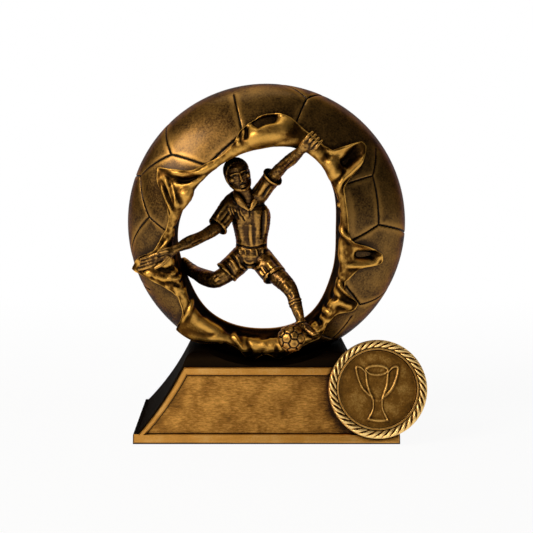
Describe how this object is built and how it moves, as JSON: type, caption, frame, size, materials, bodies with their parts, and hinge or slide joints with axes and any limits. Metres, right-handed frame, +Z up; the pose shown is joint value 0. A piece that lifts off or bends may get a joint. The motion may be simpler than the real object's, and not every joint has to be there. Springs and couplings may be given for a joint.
{
  "type": "figure trophy",
  "caption": "Antique gold cast trophy: a torn football ring with a kicking player, on a flared plinth with a blank framed name plate and a medal centre",
  "frame": {"origin": "middle of the felt underside, on the surface that the trophy stands on", "axes": "+Z up, -Y towards the viewer of the name plate, +X to that viewer's right, where the medal is"},
  "size_m": [0.0976, 0.0523, 0.115],
  "materials": {
    "felt": "matte",
    "dark_bronze": "satin",
    "satin_gold": "satin",
    "brushed_plate": "satin",
    "medal_face": "satin",
    "steel": "satin",
    "ball_bronze": "satin",
    "skin_gold": "satin",
    "figure_bronze": "satin"
  },
  "bodies": {
    "root": {"felt_pad": "felt", "plinth": "dark_bronze", "plaque_frame": "satin_gold", "name_plate": "brushed_plate", "medal_holder": "satin_gold", "medal_disc": "medal_face", "ring_dowels": "steel", "ball_shell": "ball_bronze", "torn_collar": "skin_gold", "shirt": "figure_bronze", "shorts": "figure_bronze", "head": "figure_bronze", "left_arm": "figure_bronze", "right_arm": "figure_bronze", "left_leg": "figure_bronze", "right_leg": "figure_bronze", "left_boot": "figure_bronze", "right_boot": "figure_bronze", "match_ball": "figure_bronze"}
  },
  "joints": []
}
